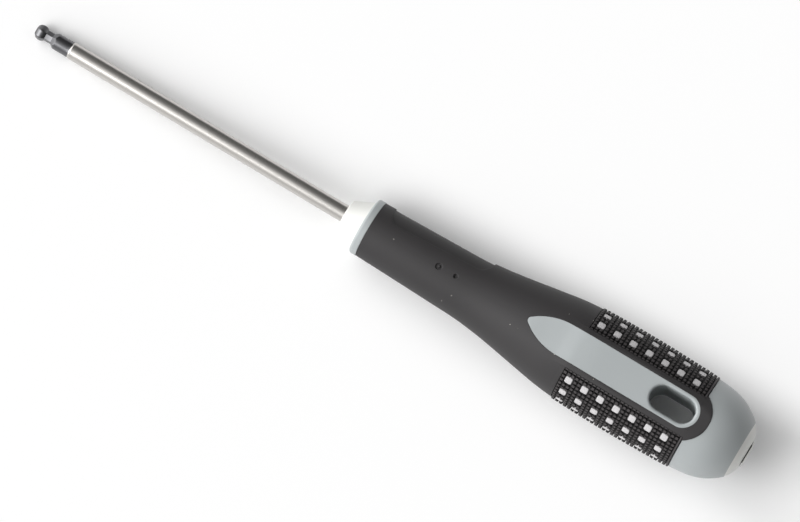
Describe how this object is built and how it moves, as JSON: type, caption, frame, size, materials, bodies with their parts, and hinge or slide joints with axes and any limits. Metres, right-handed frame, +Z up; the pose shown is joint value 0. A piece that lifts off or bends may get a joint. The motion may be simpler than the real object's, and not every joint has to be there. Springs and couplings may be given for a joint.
{
  "type": "hex screwdriver",
  "caption": "Ball-end hex screwdriver: a slim steel blade in a moulded handle with a rubber grip, textured pads and a hanging slot.",
  "frame": {"origin": "on the table, under the middle of the tool's bounding box, with the tool lying as it comes to rest", "axes": "+X towards the tip, +Z up, out of the upper tongue; the blade's axis falls 3.7 degrees towards the tip"},
  "size_m": [0.2216, 0.0278, 0.0286],
  "materials": {
    "steel": "satin chrome on the shaft, black oxide on the hexagon",
    "white_plastic": "moulded polypropylene, fine satin",
    "grey_plastic": "moulded polypropylene, fine satin",
    "black_rubber": "moulded thermoplastic rubber, smooth neck and bumpy pads"
  },
  "bodies": {
    "root": {"blade": "steel", "inner_core": "white_plastic", "handle_body": "grey_plastic", "grip_sleeve": "black_rubber"}
  },
  "joints": []
}
